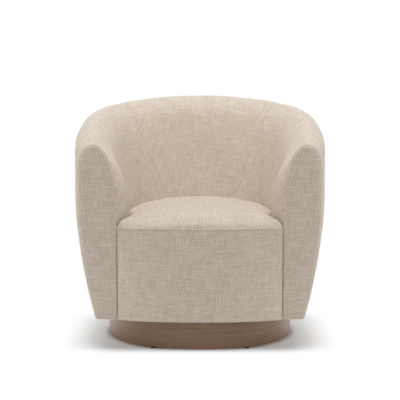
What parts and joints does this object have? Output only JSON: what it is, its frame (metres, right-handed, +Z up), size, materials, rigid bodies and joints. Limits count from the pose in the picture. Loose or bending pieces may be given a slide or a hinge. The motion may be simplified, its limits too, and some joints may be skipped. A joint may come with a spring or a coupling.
{
  "type": "swivel barrel chair",
  "caption": "Low swivel barrel chair: a fabric-covered shell whose arms wrap into a taller curved back, a crowned tight seat and a round wooden plinth.",
  "frame": {"origin": "on the floor, on the swivel axis, in the middle of the plinth", "axes": "+Z up, the chair's front faces -Y, +X is to the right when the chair is looked at from its front"},
  "size_m": [0.812, 0.82, 0.789],
  "materials": {
    "cover_fabric": "beige basket-weave cloth, matt",
    "plinth_wood": "brown stain, satin",
    "plywood": "raw birch plywood",
    "hardwood": "raw planed hardwood",
    "hardboard": "raw hardboard",
    "zinc_steel": "zinc plated",
    "dark_steel": "oiled steel",
    "spring_steel": "black lacquered wire",
    "nylon": "natural nylon",
    "black_plastic": "moulded, matt",
    "felt": "grey needle felt",
    "dust_cloth": "black spun cloth"
  },
  "bodies": {
    "base": {"plinth_ring": "plinth_wood", "plinth_panel": "plywood", "plinth_blocks": "hardwood", "floor_glides": "black_plastic", "swivel_lower_plate": "zinc_steel", "lower_race": "zinc_steel", "centre_pin": "dark_steel", "pin_washer": "zinc_steel", "centre_nut": "dark_steel", "lower_bolts": "dark_steel", "lower_tee_nuts": "zinc_steel"},
    "cage": {"ball_cage": "nylon", "bearing_balls": "dark_steel"},
    "seat": {"swivel_upper_plate": "zinc_steel", "upper_race": "zinc_steel", "centre_bush": "nylon", "upper_bolts": "dark_steel", "upper_tee_nuts": "zinc_steel", "bottom_board": "plywood", "dust_cover": "dust_cloth", "front_rail": "hardwood", "back_rail": "hardwood", "side_rail_left": "hardwood", "side_rail_right": "hardwood", "corner_blocks": "hardwood", "rail_screws": "zinc_steel", "arm_stile_left": "plywood", "arm_stile_right": "plywood", "arm_rib_left": "plywood", "arm_rib_right": "plywood", "corner_rib_left": "plywood", "corner_rib_right": "plywood", "back_rib_left": "plywood", "back_rib_right": "plywood", "top_rail": "hardwood", "outer_liner": "hardboard", "inner_liner": "hardboard", "seat_springs": "spring_steel", "spring_clips": "zinc_steel", "spring_insulator": "felt", "seat_pad": "cover_fabric", "apron_pad": "cover_fabric", "arm_front_pad_left": "cover_fabric", "arm_front_pad_right": "cover_fabric", "arm_pad_left": "cover_fabric", "arm_pad_right": "cover_fabric", "back_pad": "cover_fabric"}
  },
  "joints": [
    {"name": "swivel", "type": "hinge", "parent": "base", "child": "seat", "pos_m": [0, 0, 0.1], "axis": [0, 0, 1], "continuous": true},
    {"name": "cage_orbit", "type": "hinge", "parent": "base", "child": "cage", "pos_m": [0, 0, 0.1], "axis": [0, 0, 1], "continuous": true}
  ],
  "couplings": [
    {"joint": "cage_orbit", "follows": "swivel", "ratio": 0.5}
  ]
}
